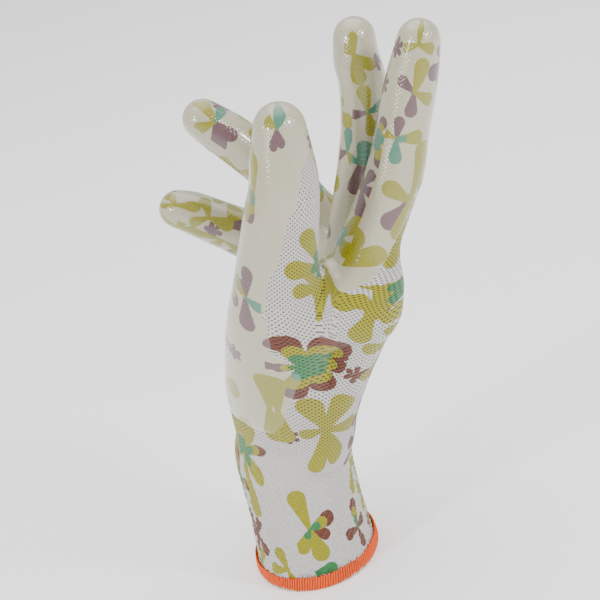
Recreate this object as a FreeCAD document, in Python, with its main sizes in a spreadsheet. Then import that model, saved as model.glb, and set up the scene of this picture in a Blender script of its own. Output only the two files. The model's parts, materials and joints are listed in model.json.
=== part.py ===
"""Dip-coated knitted garden glove for a right hand, worn open and relaxed.

Millimetres. The origin is the centre of the cuff's mouth. +Z runs up the cuff into the glove,
-Y is the thumb's side, -X is the palm's side and +X is the back of the hand.

The knitted liner is one seamless tube that branches into five digits, and the coating is one skin
on it. Both are cut into zones at the knuckles, where a worn glove bends: stiff zones are tapered
tubes, and each knuckle between them is a short sleeve that carries knit and coating together.
"""
import FreeCAD
import Part
import Sketcher
import math
import os

from FreeCAD import Placement, Rotation, Vector

NODES = ("knuckle", "root", "mid", "end", "tip")

SIZES = {
    # Fabric
    "knit_wall": 1.2,
    "coat_wall": 0.35,
    "knuckle_clearance": 0.4,
    # Cuff
    "binding_height": 5.0,
    "binding_wall": 2.0,
    "elastic_wall": 0.6,
    "elastic_height": 0.8,
    "elastic_pitch": 5.0,
    "elastic_count": 6,
    "elastic_clearance": 0.3,
    "mouth_half_depth": 23.5,
    "mouth_half_width": 30.0,
    "cuff_half_depth": 22.2,
    "cuff_half_width": 27.6,
    "wrist_half_depth": 22.3,
    "wrist_half_width": 27.3,
    # Wrist
    "wrist_height": 49.0,
    "wrist_extension": 26.0,
    "wrist_most_bend": 46.0,
    # Where the palm's coating stops: height above the wrist, and depth in the hand
    "coat_start": 24.0,
    "coat_edge_depth": -1.0,
    "coat_sweep": 230.0,
    "thumb_coat_sweep": 210.0,
}

# Palm sections, from the heel to the knuckles: height above the wrist, depth of the centre,
# half depth, half width, and the tilt that lowers the little finger's side. The heel's height
# comes from the wrist's sleeve, which it meets.
PALM_HEEL = (2.0, 20.8, 28.6, 0.0)
PALM = (
    (22.0, 2.6, 19.0, 31.0, 0.0),
    (40.0, 5.4, 16.6, 34.8, 3.0),
    (57.0, 8.6, 15.0, 37.6, 7.0),
    (72.0, 10.4, 13.6, 38.6, 10.0),
    (79.0, 10.4, 11.4, 36.6, 11.0),
)
PALM_KEYS = ("rise", "depth", "half_depth", "half_width", "tilt")

# Each finger: where its knuckle is in the hand (across, rise, depth), how it splays outwards,
# its bends at the knuckle, root, middle and end joints, the lengths from node to node, its outer
# radii at the nodes, and the most that each of its three joints ever bends from straight.
FINGERS = {
    "index": {
        "place": (-30.0, 74.0, 7.5), "splay": -1.5, "bends": (3.5, -7.0, 8.5, 6.0),
        "lengths": (21.3, 30.0, 28.0, 25.7), "radii": (11.6, 10.5, 9.8, 9.2, 8.3),
        "most": (62.0, 80.0, 56.0),
    },
    "middle": {
        "place": (-9.5, 71.0, 7.5), "splay": 0.0, "bends": (14.0, -3.5, 4.0, 5.5),
        "lengths": (21.0, 29.4, 27.5, 25.2), "radii": (10.6, 9.2, 8.9, 8.7, 7.9),
        "most": (64.0, 80.0, 56.0),
    },
    "ring": {
        "place": (10.5, 67.0, 5.5), "splay": 1.0, "bends": (31.0, 23.0, 10.5, 4.5),
        "lengths": (20.6, 25.4, 24.5, 22.6), "radii": (10.4, 9.2, 8.8, 8.5, 7.5),
        "most": (45.0, 80.0, 52.0),
    },
    "little": {
        "place": (28.5, 61.0, 2.0), "splay": 3.0, "bends": (60.0, 26.0, 0.0, 2.5),
        "lengths": (17.6, 19.8, 17.8, 18.7), "radii": (9.8, 9.0, 8.7, 8.3, 7.3),
        "most": (42.0, 76.0, 52.0),
    },
}

# The thumb: its knuckle, how far it leans outwards and towards the palm, the turn that makes it
# close across the palm, and its joints. The mound under it is tapered branches joined by balls.
THUMB = {
    "place": (-43.0, 72.0, -23.0), "lean": 11.0, "tilt": 8.0, "turn": -40.0,
    "root_distance": 21.0, "bends": (0.0, 12.5), "lengths": (24.0, 31.5),
    "radii": (14.4, 13.4, 12.2, 8.9), "most": (32.0, 60.0),
}
MOUND = (
    (-14.0, 21.0, 0.0, 12.0),
    (-27.0, 34.0, -12.5, 18.8),
    (-35.5, 53.0, -19.0, 17.6),
)
MOUND_KEYS = ("across", "rise", "depth", "radius")

# How far a layer's surface stands out from the knit's outer surface.
OFFSETS = {"outside": "0", "inside": "-Sizes.knit_wall", "coated": "Sizes.coat_wall"}

# The zone that follows each joint, and the sleeve over it.
FINGER_ZONES = {"root": "proximal", "mid": "middle", "end": "tip"}
FINGER_SLEEVES = {"root": "root", "mid": "middle_knuckle", "end": "end_knuckle"}
THUMB_ZONES = {"root": "base", "mid": "tip"}
THUMB_SLEEVES = {"root": "root", "mid": "knuckle"}
THUMB_NODES = ("knuckle", "root", "mid", "tip")

document = FreeCAD.newDocument("GardenGlove")
sheet = document.addObject("Spreadsheet::Sheet", "Sizes")


def fill_sheet():
    """Write every driving dimension into the sheet, each under its own alias."""
    values = dict(SIZES)
    for key, amount in zip(PALM_KEYS[1:], PALM_HEEL):
        values[f"palm_0_{key}"] = amount
    for number, section in enumerate(PALM, start=1):
        for key, amount in zip(PALM_KEYS, section):
            values[f"palm_{number}_{key}"] = amount
    for number, section in enumerate(MOUND):
        for key, amount in zip(MOUND_KEYS, section):
            values[f"mound_{number}_{key}"] = amount
    for digit, finger in FINGERS.items():
        values[f"{digit}_splay"] = finger["splay"]
        for key, amount in zip(("across", "rise", "depth"), finger["place"]):
            values[f"{digit}_{key}"] = amount
        for node, amount in zip(NODES, finger["bends"]):
            values[f"{digit}_{node}_bend"] = amount
        for node, amount in zip(NODES[1:], finger["lengths"]):
            values[f"{digit}_{node}_distance"] = amount
        for node, amount in zip(NODES, finger["radii"]):
            values[f"{digit}_{node}_radius"] = amount
        for node, amount in zip(NODES[1:4], finger["most"]):
            values[f"{digit}_{node}_most_bend"] = amount
    for key in ("lean", "tilt", "turn", "root_distance"):
        values[f"thumb_{key}"] = THUMB[key]
    for key, amount in zip(("across", "rise", "depth"), THUMB["place"]):
        values[f"thumb_{key}"] = amount
    for node, amount in zip(("root", "mid"), THUMB["bends"]):
        values[f"thumb_{node}_bend"] = amount
    for node, amount in zip(("mid", "tip"), THUMB["lengths"]):
        values[f"thumb_{node}_distance"] = amount
    for node, amount in zip(THUMB_NODES, THUMB["radii"]):
        values[f"thumb_{node}_radius"] = amount
    for node, amount in zip(("root", "mid"), THUMB["most"]):
        values[f"thumb_{node}_most_bend"] = amount
    for row, (alias, amount) in enumerate(values.items(), start=1):
        sheet.set(f"A{row}", alias)
        sheet.set(f"B{row}", str(amount))
        sheet.setAlias(f"B{row}", alias)
    document.recompute()


def size(alias):
    """A driving dimension's value, read from the sheet."""
    return float(sheet.get(alias))


def value(expression):
    """The number that an expression on the sheet gives."""
    return float(sheet.evalExpression(expression))


def bind(item, **expressions):
    """Tie an object's sizes to expressions on the sheet."""
    for name, expression in expressions.items():
        item.setExpression(name, expression)


def moved(placement, x, y, z):
    """A placement shifted along its own axes."""
    return placement.multiply(Placement(Vector(x, y, z), Rotation()))


def turned(placement, axis, degrees):
    """A placement turned about one of its own axes."""
    return placement.multiply(Placement(Vector(), Rotation(Vector(*axis), degrees)))


def flexed(placement, degrees):
    """A placement bent towards the palm."""
    return turned(placement, (0, 1, 0), -degrees)


def hand_frame():
    """The hand's own frame: x to its back, y across to the little finger, z to the fingertips."""
    wrist = Placement(Vector(0, 0, size("wrist_height")), Rotation())
    return turned(wrist, (0, 1, 0), size("wrist_extension"))


def digit_chain(digit):
    """Placements at a digit's nodes, each facing along the stretch that follows it.

    The entry for a node holds the placement that arrives there and the one that leaves it.
    """
    place = [size(f"{digit}_{key}") for key in ("depth", "across", "rise")]
    start = moved(hand_frame(), *place)
    if digit == "thumb":
        start = turned(start, (1, 0, 0), size("thumb_lean"))
        start = flexed(start, size("thumb_tilt"))
        leaving = turned(start, (0, 0, 1), size("thumb_turn"))
        nodes = THUMB_NODES[1:]
    else:
        start = turned(start, (1, 0, 0), -size(f"{digit}_splay"))
        leaving = flexed(start, size(f"{digit}_knuckle_bend"))
        nodes = NODES[1:]
    chain = {"knuckle": (start, leaving)}
    for node in nodes:
        arriving = moved(leaving, 0, 0, size(f"{digit}_{node}_distance"))
        bend = 0.0 if node == "tip" else size(f"{digit}_{node}_bend")
        leaving = flexed(arriving, bend)
        chain[node] = (arriving, leaving)
    return chain


def knuckle_gap(digit, node):
    """How far each stiff tube stops short of a joint, so that bent tubes never meet."""
    radius = f"(Sizes.{digit}_{node}_radius + Sizes.coat_wall)"
    return f"({radius} * tan(Sizes.{digit}_{node}_most_bend * 1 deg / 2) + Sizes.knuckle_clearance)"


def radius_between(digit, first, second, distance):
    """The knit's outer radius a distance past a node, tapering evenly to the next one."""
    start = f"Sizes.{digit}_{first}_radius"
    taper = f"(Sizes.{digit}_{second}_radius - {start}) / Sizes.{digit}_{second}_distance"
    return f"({start} + {taper} * {distance})"


def stretch_end(digit, first, second):
    """How far past its first node a digit's stretch stops short of its second."""
    return f"(Sizes.{digit}_{second}_distance - {knuckle_gap(digit, second)})"


def add(kind, name):
    """A new document object, labelled with its name."""
    item = document.addObject(kind, name)
    item.Label = name
    return item


def round_section(name, radius, placement):
    """A circle across a digit, its radius an expression."""
    circle = add("Part::Circle", name)
    bind(circle, Radius=radius)
    circle.Placement = placement
    return circle


def oval_section(name, half_width, half_depth, placement, layer):
    """An ellipse with its long axis across the hand, sized by expressions on the sheet."""
    oval = add("Part::Ellipse", name)
    oval.MajorRadius = 100.0
    oval.setExpression("MinorRadius", f"{half_depth} + {OFFSETS[layer]}")
    oval.setExpression("MajorRadius", f"{half_width} + {OFFSETS[layer]}")
    oval.Placement = turned(placement, (0, 0, 1), 90)
    return oval


def loft(name, sections):
    skin = add("Part::Loft", name)
    skin.Sections = sections
    skin.Solid = True
    skin.Ruled = False
    return skin


def cut(name, base, tool):
    result = add("Part::Cut", name)
    result.Base = base
    result.Tool = tool
    return result


def fuse(name, shapes):
    result = add("Part::MultiFuse", name)
    result.Shapes = shapes
    return result


def tube_body(name, placement, outer, inner, sweep=None):
    """A body revolved about its own Z from a closed outline in its XZ plane.

    outer and inner are (radius, height) expressions that start at the open end. A last outer
    point on the axis makes a domed end, struck from the point before it. sweep is the name of
    the part-turn that a coating covers.
    """
    body = add("PartDesign::Body", name)
    plane = next(item for item in body.Origin.OriginFeatures if item.Role == "XZ_Plane")
    outline = body.newObject("Sketcher::SketchObject", f"{name}_outline")
    outline.AttachmentSupport = [(plane, "")]
    outline.MapMode = "FlatFace"
    corners = outer + inner[::-1]
    domes = (len(outer) - 2, len(outer)) if outer[-1][0] == "0" else ()
    draw_outline(outline, corners, domes)
    turn = body.newObject("PartDesign::Revolution", f"{name}_turn")
    turn.Profile = outline
    turn.ReferenceAxis = (outline, ["V_Axis"])
    if sweep:
        bind(turn, Angle=f"Sizes.{sweep}")
        turn.Midplane = True
    body.Tip = turn
    body.Placement = placement
    return body


def draw_outline(outline, corners, domes):
    """Join the corners into a closed outline whose corners are held by expressions.

    The edges numbered in domes are the arcs of a round end, and the others are straight.
    """
    points = [Vector(value(radius), value(height), 0) for radius, height in corners]
    for number, start in enumerate(points):
        end = points[(number + 1) % len(points)]
        edge = dome_arc(start, end) if number in domes else Part.LineSegment(start, end)
        outline.addGeometry(edge, False)
        for kind, expression in zip(("DistanceX", "DistanceY"), corners[number]):
            if number not in domes and number - 1 not in domes:
                held = outline.addConstraint(Sketcher.Constraint(kind, -1, 1, number, 1, 0.0))
                outline.setDatum(held, start.x if kind == "DistanceX" else start.y)
                outline.setExpression(f"Constraints[{held}]", expression)


def dome_arc(first, second):
    """The arc of a round end, between its widest point and its pole on the axis."""
    side, pole = sorted((first, second), key=lambda point: -point.x)
    share = math.sin(math.radians(45))
    middle = Vector(side.x * share, side.y + (pole.y - side.y) * share, 0)
    return Part.Arc(first, middle, second)


def stiff_zone(digit, first, second, placement, sweep):
    """The knit tube between two joints, and the coating on it."""
    start = knuckle_gap(digit, first)
    zones = THUMB_ZONES if digit == "thumb" else FINGER_ZONES
    corners = [(radius_between(digit, first, second, start), start)]
    if second == "tip":
        dome = f"Sizes.{digit}_tip_radius"
        length = f"Sizes.{digit}_tip_distance"
        corners += [(dome, f"{length} - {dome}"), ("0", length)]
    else:
        end = stretch_end(digit, first, second)
        corners += [(radius_between(digit, first, second, end), end)]
    outer, inner, skin = (layer_corners(corners, layer) for layer in ("outside", "inside", "coated"))
    name = f"{digit}_{zones[first]}"
    tube_body(f"{name}_knit", placement, outer, inner)
    tube_body(f"{name}_coating", turned(placement, (0, 0, 1), 180), skin, outer, sweep)


def layer_corners(corners, layer):
    """A tube's outline moved to a layer: every radius by its offset, and a domed end's pole too."""
    moved_corners = []
    for radius, height in corners:
        if radius == "0":
            moved_corners.append(("0", f"{height} + {OFFSETS[layer]}"))
        else:
            moved_corners.append((f"{radius} + {OFFSETS[layer]}", height))
    return moved_corners


def knuckle_sleeve(name, digit, before, node, after, arriving, leaving):
    """The soft sleeve over a joint: round sections at each tube's end and on the bend's bisector."""
    gap = knuckle_gap(digit, node)
    bend = size(f"{digit}_{node}_bend")
    near = stretch_end(digit, before, node)
    places = (
        (moved(arriving, 0, 0, -value(gap)), radius_between(digit, before, node, near)),
        (flexed(arriving, bend / 2), f"Sizes.{digit}_{node}_radius"),
        (moved(leaving, 0, 0, value(gap)), radius_between(digit, node, after, gap)),
    )
    skins = []
    for layer in ("coated", "inside"):
        rings = []
        for number, (placement, radius) in enumerate(places):
            rings.append(round_section(f"{name}_{layer}_{number}", f"{radius} + {OFFSETS[layer]}", placement))
        skins.append(loft(f"{name}_{layer}", rings))
    return cut(name, skins[0], skins[1])


def build_digit(digit):
    """A finger's three stiff zones and three knuckle sleeves; the thumb has two of each."""
    chain = digit_chain(digit)
    thumb = digit == "thumb"
    nodes = THUMB_NODES if thumb else NODES
    sleeves = THUMB_SLEEVES if thumb else FINGER_SLEEVES
    for before, node, after in zip(nodes, nodes[1:], nodes[2:]):
        arriving, leaving = chain[node]
        knuckle_sleeve(f"{digit}_{sleeves[node]}_sleeve", digit, before, node, after, arriving, leaving)
        sweep = None
        if node == "root":
            sweep = "thumb_coat_sweep" if thumb else "coat_sweep"
        stiff_zone(digit, node, after, leaving, sweep)


def palm_rise(number):
    """A palm section's height above the wrist; the first one is where the wrist's sleeve ends."""
    return value(wrist_gap()) if number == 0 else size(f"palm_{number}_rise")


def palm_loft(name, layer, extra):
    """The palm and back of the hand as one oval loft, its open end moved down by extra."""
    sections = []
    last = len(PALM)
    for number in range(last + 1):
        rise = palm_rise(number)
        if number == 0:
            rise -= extra
        if number == last:
            rise += value(OFFSETS[layer])
        placement = moved(hand_frame(), size(f"palm_{number}_depth"), 0, rise)
        placement = turned(placement, (1, 0, 0), -size(f"palm_{number}_tilt"))
        half_width = f"Sizes.palm_{number}_half_width"
        half_depth = f"Sizes.palm_{number}_half_depth"
        sections.append(oval_section(f"{name}_{number}", half_width, half_depth, placement, layer))
    return loft(name, sections)


def ball(name, radius, placement):
    """A round solid over a branch's end, its radius an expression."""
    sphere = add("Part::Sphere", name)
    bind(sphere, Radius=radius)
    sphere.Placement = placement
    return sphere


def branch(name, start, end, start_radius, end_radius, extra=0.0):
    """A tapered round solid between two points, its far end moved on by extra."""
    run = end - start
    cone = add("Part::Cone", name)
    bind(cone, Radius1=start_radius, Radius2=end_radius)
    cone.Height = run.Length + extra
    cone.Placement = Placement(start, Rotation(Vector(0, 0, 1), run))
    return cone


def finger_stub(name, digit, layer, extra):
    """The short branch of the hand's shell that a finger grows from, round over its knuckle."""
    placement = digit_chain(digit)["knuckle"][1]
    length = stretch_end(digit, "knuckle", "root")
    radius = f"Sizes.{digit}_knuckle_radius + {OFFSETS[layer]}"
    end_radius = f"{radius_between(digit, 'knuckle', 'root', length)} + {OFFSETS[layer]}"
    end = moved(placement, 0, 0, value(length)).Base
    stub = branch(f"{name}_branch", placement.Base, end, radius, end_radius, extra)
    return [stub, ball(f"{name}_knuckle", radius, placement)]


def thumb_mound(name, layer, extra):
    """The mound under the thumb: round branches from inside the heel of the hand to the thumb."""
    points = []
    for number in range(len(MOUND)):
        place = [size(f"mound_{number}_{key}") for key in ("depth", "across", "rise")]
        points.append((moved(hand_frame(), *place).Base, f"Sizes.mound_{number}_radius"))
    leaving = digit_chain("thumb")["knuckle"][1]
    points.append((leaving.Base, "Sizes.thumb_knuckle_radius"))
    length = stretch_end("thumb", "knuckle", "root")
    end_radius = radius_between("thumb", "knuckle", "root", length)
    points.append((moved(leaving, 0, 0, value(length)).Base, end_radius))
    shapes = []
    last = len(points) - 2
    for number, (near, far) in enumerate(zip(points, points[1:])):
        reach = extra if number == last else 0.0
        radii = [f"{radius} + {OFFSETS[layer]}" for radius in (near[1], far[1])]
        shapes.append(branch(f"{name}_branch_{number}", near[0], far[0], *radii, reach))
        if number > 0:
            shapes.append(ball(f"{name}_ball_{number}", radii[0], Placement(near[0], Rotation())))
    return shapes


def hand_solid(name, layer, extra=0.0):
    """The whole hand as one solid, with its branches' open ends moved on by extra."""
    shapes = [palm_loft(f"{name}_palm", layer, extra)]
    shapes.extend(thumb_mound(f"{name}_mound", layer, extra))
    for digit in FINGERS:
        shapes.extend(finger_stub(f"{name}_{digit}", digit, layer, extra))
    return fuse(name, shapes)


def build_hand():
    """The hand's knitted shell, open at the wrist and at each digit, and the palm's coating."""
    outside = hand_solid("hand_outside", "outside")
    inside = hand_solid("hand_inside", "inside", extra=1.0)
    cut("hand_knit_shell", outside, inside)
    grown = hand_solid("hand_grown", "coated")
    skin = cut("hand_skin", grown, outside)
    region = add("Part::Box", "palm_coating_region")
    reach = 200.0
    region.Length = reach
    region.Width = 2 * reach
    region.Height = reach
    region.Placement = moved(hand_frame(), size("coat_edge_depth") - reach, -reach, size("coat_start"))
    coating = add("Part::Common", "palm_coating")
    coating.Base = skin
    coating.Tool = region


def wrist_gap():
    """How far the cuff and the hand's shell each stop short of the wrist joint."""
    return "(Sizes.wrist_half_depth * tan(Sizes.wrist_most_bend * 1 deg / 2) + Sizes.knuckle_clearance)"


def cuff_oval(name, height, layer, shrink=0.0):
    """An oval section of the cuff at a height, on an even taper from the mouth to the wrist."""
    top = size("wrist_height")
    first, second, low = ("mouth", "cuff", 0.0) if height < top / 2 else ("cuff", "wrist", top / 2)
    share = (height - low) / (top / 2)
    half = {}
    for key in ("half_width", "half_depth"):
        start = f"Sizes.{first}_{key}"
        half[key] = f"{start} + (Sizes.{second}_{key} - {start}) * {share:.6f} - {shrink}"
    placement = Placement(Vector(0, 0, height), Rotation())
    return oval_section(name, half["half_width"], half["half_depth"], placement, layer)


def cuff_loft(name, heights, layer, shrink=0.0):
    """The cuff's tapering oval through sections at the given heights."""
    sections = []
    for number, height in enumerate(heights):
        sections.append(cuff_oval(f"{name}_{number}", height, layer, shrink))
    return loft(name, sections)


def build_cuff():
    """The binding sewn round the mouth, the ribbed cuff, its elastic yarn and the wrist's sleeve."""
    binding = size("binding_height")
    low_end = (0.0, binding)
    rim = size("binding_wall") - size("knit_wall")
    thick = cuff_loft("binding_outside", low_end, "outside", shrink=-rim / 2)
    hole = cuff_loft("binding_inside", low_end, "inside", shrink=rim / 2)
    cut("cuff_edge_binding", thick, hole)

    top = size("wrist_height") - value(wrist_gap())
    heights = (binding, size("wrist_height") / 2, top)
    outside = cuff_loft("cuff_outside", heights, "outside")
    inside = cuff_loft("cuff_inside", heights, "inside")
    cut("cuff_ribbed_knit", outside, inside)

    bands = []
    gap = size("elastic_clearance")
    for number in range(int(size("elastic_count"))):
        height = binding + size("elastic_pitch") * (number + 0.5)
        ends = (height, height + size("elastic_height"))
        outside = cuff_loft(f"elastic_{number}_outside", ends, "inside", shrink=gap)
        inside = cuff_loft(f"elastic_{number}_inside", ends, "inside", shrink=gap + size("elastic_wall"))
        bands.append(cut(f"elastic_{number}", outside, inside))
    yarn = add("Part::Compound", "cuff_elastic_yarn")
    yarn.Links = bands

    skins = []
    for layer in ("outside", "inside"):
        hand = hand_frame()
        middle = Placement(Vector(0, 0, size("wrist_height")), Rotation())
        middle = moved(turned(middle, (0, 1, 0), size("wrist_extension") / 2), size("palm_0_depth") / 2, 0, 0)
        below = cuff_oval(f"wrist_{layer}_0", top, layer)
        between = oval_section(
            f"wrist_{layer}_1", "Sizes.wrist_half_width", "Sizes.wrist_half_depth", middle, layer)
        above_place = moved(hand, size("palm_0_depth"), 0, palm_rise(0))
        above = oval_section(
            f"wrist_{layer}_2", "Sizes.palm_0_half_width", "Sizes.palm_0_half_depth", above_place, layer)
        skins.append(loft(f"wrist_{layer}", [below, between, above]))
    cut("wrist_knit_sleeve", skins[0], skins[1])


def part_names():
    """Every sub-part, from the cuff up."""
    names = ["cuff_edge_binding", "cuff_ribbed_knit", "cuff_elastic_yarn", "wrist_knit_sleeve"]
    names += ["hand_knit_shell", "palm_coating"]
    zones = {digit: ("proximal", "middle", "tip") for digit in FINGERS}
    joints = {digit: ("root", "middle_knuckle", "end_knuckle") for digit in FINGERS}
    zones["thumb"] = ("base", "tip")
    joints["thumb"] = ("root", "knuckle")
    for digit in ("thumb", *FINGERS):
        for joint, zone in zip(joints[digit], zones[digit]):
            names += [f"{digit}_{joint}_sleeve", f"{digit}_{zone}_knit", f"{digit}_{zone}_coating"]
    return names


def export_parts():
    """Check the whole document, then write each sub-part to its own file."""
    document.recompute()
    failed = [item.Label for item in document.Objects if {"Invalid", "Error"} & set(item.State)]
    if failed:
        raise RuntimeError(f"these objects failed: {failed}")
    os.makedirs("parts", exist_ok=True)
    for name in part_names():
        shape = document.getObjectsByLabel(name)[0].Shape
        if shape.isNull() or not shape.isValid() or shape.Volume <= 0:
            raise RuntimeError(f"{name} has no valid solid")
        shape.exportStep(f"parts/{name}.step")
        print(f"{name}: {len(shape.Solids)} solid(s), {shape.Volume / 1000:.2f} cm3")


fill_sheet()
build_cuff()
build_hand()
for each in ("thumb", *FINGERS):
    build_digit(each)
export_parts()
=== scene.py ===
"""Dip-coated knitted garden glove for a right hand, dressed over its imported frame.

Metres, in the frame's own axes: +Z up the cuff, -Y the thumb's side, -X the palm, +X the back.
Lengths written in the tables are millimetres and are scaled by MM.

The glove is one seamless skin. It is raised from the frame's joints, cut into zones where the
wearer's joints bend, and each zone is a piece: a knitted liner with a real wall, and over most of
it a thin dipped coating. The flower print and the knit's stitches follow the fabric, because they
are drawn from lengths measured along and around each finger.
"""
import bmesh
import bpy
import json
import math
import numpy as np

from mathutils import Matrix, Vector, noise


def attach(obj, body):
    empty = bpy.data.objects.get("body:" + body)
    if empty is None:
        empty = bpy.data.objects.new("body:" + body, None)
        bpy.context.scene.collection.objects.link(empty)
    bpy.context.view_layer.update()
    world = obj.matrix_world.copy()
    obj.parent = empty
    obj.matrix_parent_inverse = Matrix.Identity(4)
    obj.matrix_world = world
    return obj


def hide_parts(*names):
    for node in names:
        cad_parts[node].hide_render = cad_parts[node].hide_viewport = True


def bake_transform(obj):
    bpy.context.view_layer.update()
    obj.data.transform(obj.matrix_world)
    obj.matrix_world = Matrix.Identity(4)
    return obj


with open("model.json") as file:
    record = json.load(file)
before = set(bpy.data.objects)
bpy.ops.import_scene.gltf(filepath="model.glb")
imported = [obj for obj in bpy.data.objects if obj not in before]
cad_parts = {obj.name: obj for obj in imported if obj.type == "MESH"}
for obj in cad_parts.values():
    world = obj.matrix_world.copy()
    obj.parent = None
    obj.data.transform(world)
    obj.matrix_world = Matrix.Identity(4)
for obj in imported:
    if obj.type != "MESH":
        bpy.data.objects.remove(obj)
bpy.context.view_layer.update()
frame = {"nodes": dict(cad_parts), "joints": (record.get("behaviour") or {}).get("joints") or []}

MM = 0.001
JOINTS = {joint["name"]: joint for joint in frame["joints"]}

# ---------------------------------------------------------------- sizes, in millimetres

VOXEL = 0.9
FILLET = 3.6               # how softly one branch of the glove runs into the next
KNIT_WALL = 1.2
COAT_WALL = 0.35
COAT_RAGGED = 1.2          # how far the coating's edge wanders
COAT_DIVE = 0.25           # how far its rim sinks into the liner
WRIST_LEAN = 26.0          # degrees that the hand leans back from the cuff

# The cuff, as rings: height, half depth, half width.
CUFF_RINGS = ((-6.0, 23.6, 30.2), (0.0, 23.4, 29.8), (12.0, 22.4, 28.2), (26.0, 21.8, 27.2),
              (38.0, 21.8, 27.0))
# The wrist and palm, as rings: rise above the wrist, lean (degrees), depth of the centre,
# half depth, half width, and the tilt that lowers the little finger's side.
HAND_RINGS = (
    (0.0, 13.0, 1.0, 22.0, 27.2, 0.0),
    (10.0, 26.0, 2.0, 20.8, 28.6, 0.0),
    (22.0, 26.0, 2.6, 19.0, 31.0, 0.0),
    (40.0, 26.0, 5.4, 16.6, 34.8, 3.0),
    (57.0, 26.0, 8.6, 15.0, 37.6, 7.0),
    (72.0, 26.0, 10.6, 13.8, 38.6, 10.0),
    (81.0, 26.0, 11.0, 11.0, 36.0, 11.0),
)
RING_SHAPE = 2.2           # a superellipse's exponent: a little squarer than an oval
RING_STEPS = 24            # rows worked out between two rings, of which the loft takes every sixth
LOFT_STEP = 6

# Each digit: its knuckle in the hand (across, rise, depth), the outer radius at its knuckle, root,
# first bone, middle joint, second bone, end joint, pad and tip (the thumb's path has more points
# and fewer joints), and which of those lie off the hinges' line, by how far to the back and up.
# fold is how far the print's fold lies from the side of the finger towards the palm, in degrees,
# reach the share of the frame's tip that the glove fills, and across where its knit begins.
DIGITS = {
    "thumb": {
        "path": ((-12.0, 2.0, -3.5), (-18.0, 18.0, -9.0), (-27.0, 35.0, -13.5), (-35.5, 53.0, -18.5),
                 (-43.0, 72.0, -23.0)),
        "joints": ("root", "knuckle"), "reach": 1.0,
        "radii": (14.0, 16.6, 18.4, 17.2, 14.6, 13.6, 13.0, 12.0, 10.6, 8.6), "shifts": {},
        "fold": 0.0, "across": 0.0,
    },
    "index": {
        "path": ((-30.0, 74.0, 9.6),), "joints": ("root", "middle", "end"), "reach": 1.0,
        "radii": (12.2, 10.6, 9.9, 9.8, 9.1, 8.9, 8.3, 7.2), "shifts": {6: (1.2, 0), 7: (2.2, 0)},
        "fold": 42.0, "across": 0.0,
    },
    "middle": {
        "path": ((-9.5, 71.0, 8.4),), "joints": ("root", "middle", "end"), "reach": 0.95,
        "radii": (11.2, 9.3, 8.4, 8.6, 8.0, 8.2, 8.0, 7.2),
        "shifts": {3: (1.2, 0), 4: (1.6, 0), 5: (1.2, 0)},
        "fold": 30.0, "across": 33.0,
    },
    "ring": {
        "path": ((10.5, 67.0, 6.2),), "joints": ("root", "middle", "end"), "reach": 0.94,
        "radii": (10.8, 9.3, 8.7, 9.0, 8.5, 8.5, 8.1, 7.3), "shifts": {}, "fold": 20.0, "across": 52.0,
    },
    "little": {
        "path": ((28.5, 61.0, 2.4),), "joints": ("root", "middle", "end"), "reach": 1.0,
        "radii": (10.2, 9.6, 9.3, 9.4, 8.7, 8.3, 7.9, 7.0),
        "shifts": {2: (0, -2.6), 3: (0, -3.0), 4: (0, -2.0), 5: (0, -1.0)},
        "fold": 20.0, "across": 66.0,
    },
}
# The web between the thumb and the index finger: across, rise, depth and radius.
WEB = ((-37.0, 66.0, -15.0, 14.5), (-36.0, 71.0, -7.0, 13.6), (-33.0, 76.0, 1.0, 12.8),
       (-31.0, 80.0, 8.0, 11.8))
JOINT_NAMES = {digit: ("root", "middle_knuckle", "end_knuckle") for digit in DIGITS}
JOINT_NAMES["thumb"] = ("root", "knuckle")

# Where the zones meet: heights of the cuff's top and the wrist's (above the wrist joint), and how
# far below its root joint each digit's first zone begins. The cuff's cells are relief up to CUFF_FINE.
CUFF_TOP = 30.0
WRIST_TOP = 20.0
ROOT_RING = 5.0
CUFF_FINE = 64.0
WAFFLE = (4.6, 3.2)        # across and along, of two of the cuff's cells
WAFFLE_HEIGHT = 0.26
WAFFLE_FADES = (50, 62)    # where along the fabric the waffle fades into plain knit

# The fold pressed along the thumb's side, and the soft unevenness of worn fabric.
PRESSED_HEIGHT = 0.28
PRESSED_WIDTH = 0.9
DRAPE_HEIGHT = 0.22

# The fabric's lengths round each branch, and the coating's edge on the palm.
BODY_ROUND = 30.0          # the least radius that lengths round the cuff and hand are taken at
BODY_FOLD = ((0.0, 30.0, 52.0, 72.0, 85.0, 95.0, 115.0), (8.0, 9.0, 9.5, 15.0, 21.0, 25.0, 26.0))
THUMB_FOLD = ((68.0, 83.0, 102.0, 120.0, 140.0), (-30.0, -26.0, -17.0, -8.0, 0.0))
DIGIT_ROUND = {"thumb": 13.4, "index": 9.8, "middle": 9.0, "ring": 8.9, "little": 8.7}
PALM_EDGE = 106.0
PALM_START = 74.0

# The bound edge
BINDING_THREAD = 0.46
BINDING_STITCHES = 150

# The print. A petal's kind is drawn as layers of ink, each with its share of the petal's length.
INKS = ("brown", "yellow", "green")
LAYERS = {
    "yellow": (("yellow", 1.0),),
    "brown": (("brown", 1.0),),
    "green": (("green", 1.0),),
    "layered": (("brown", 1.0), ("yellow", 0.7), ("green", 0.42)),
    "hearted": (("yellow", 1.0), ("green", 0.38)),
}
SPRIG = tuple((60 * turn, 3.9, "brown") for turn in range(6))

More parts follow.
